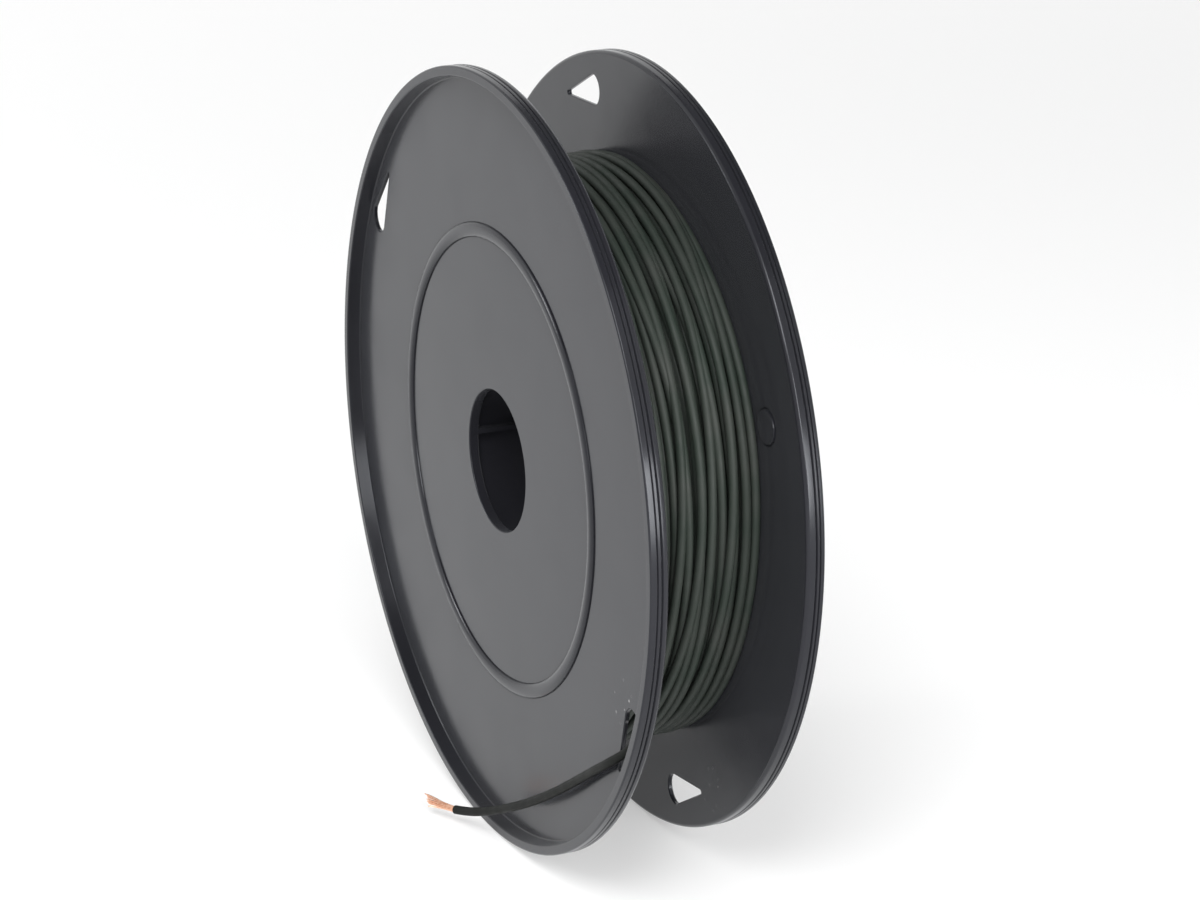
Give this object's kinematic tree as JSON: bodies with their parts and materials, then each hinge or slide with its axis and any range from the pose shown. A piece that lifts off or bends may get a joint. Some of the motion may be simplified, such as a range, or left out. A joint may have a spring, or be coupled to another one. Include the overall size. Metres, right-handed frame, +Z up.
{
  "type": "wire spool",
  "caption": "Plastic spool of mating moulded flange halves on a bored hub, wound with insulated stranded wire whose stripped copper end lies free through a slot.",
  "frame": {"origin": "on the spindle bore's axis, halfway between the two flanges, where the halves meet", "axes": "+Y along the bore from the front flange, which the free wire end lies across, to the rear one; +Z up with the spool standing on its rims; +X to the side where the wire leaves the winding"},
  "size_m": [0.2, 0.0579, 0.2],
  "materials": {
    "flange_plastic": "satin grey-black moulded plastic with faint scuffs",
    "wire_insulation": "matte dark green-grey soft vinyl",
    "copper": "bright bare copper strands, freshly cut"
  },
  "bodies": {
    "root": {"flange_half_front": "flange_plastic", "flange_half_rear": "flange_plastic", "cable_inner_layers": "wire_insulation", "cable_outer_layer": "wire_insulation", "cable_lead": "wire_insulation", "copper_strand_01": "copper", "copper_strand_02": "copper", "copper_strand_03": "copper", "copper_strand_04": "copper", "copper_strand_05": "copper", "copper_strand_06": "copper", "copper_strand_07": "copper", "copper_strand_08": "copper", "copper_strand_09": "copper", "copper_strand_10": "copper", "copper_strand_11": "copper", "copper_strand_12": "copper", "copper_strand_13": "copper", "copper_strand_14": "copper", "copper_strand_15": "copper", "copper_strand_16": "copper", "copper_strand_17": "copper", "copper_strand_18": "copper", "copper_strand_19": "copper"}
  },
  "joints": []
}
